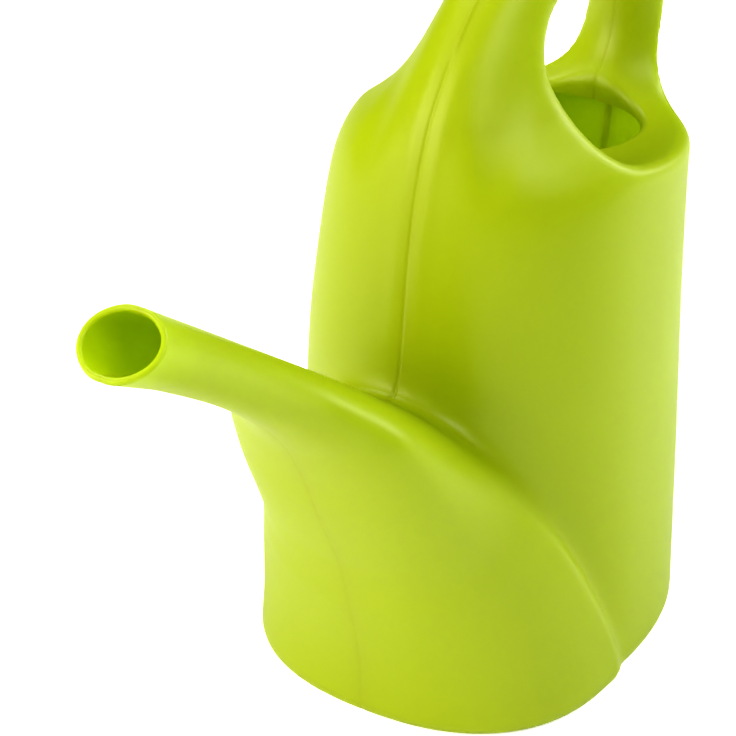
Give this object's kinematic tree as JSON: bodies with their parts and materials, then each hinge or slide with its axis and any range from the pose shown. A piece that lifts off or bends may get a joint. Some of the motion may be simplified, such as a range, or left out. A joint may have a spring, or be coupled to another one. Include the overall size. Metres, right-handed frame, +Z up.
{
  "type": "watering can",
  "caption": "Small indoor watering can, blow-moulded in lime plastic, with an oval tank, a skirted upturned spout and a loop handle over the filling hole.",
  "frame": {"origin": "centre of the bounding box's bottom, on the surface the can stands on", "axes": "+Z up, spout towards -X, parting plane Y = 0"},
  "size_m": [0.3206, 0.1306, 0.262],
  "materials": {
    "lime_plastic": "satin moulded polyethylene, lime green"
  },
  "bodies": {
    "root": {"tank_left_shell": "lime_plastic", "tank_right_shell": "lime_plastic", "spout_left_shell": "lime_plastic", "spout_right_shell": "lime_plastic", "handle_left_shell": "lime_plastic", "handle_right_shell": "lime_plastic", "fill_collar": "lime_plastic", "base_pan": "lime_plastic"}
  },
  "joints": []
}
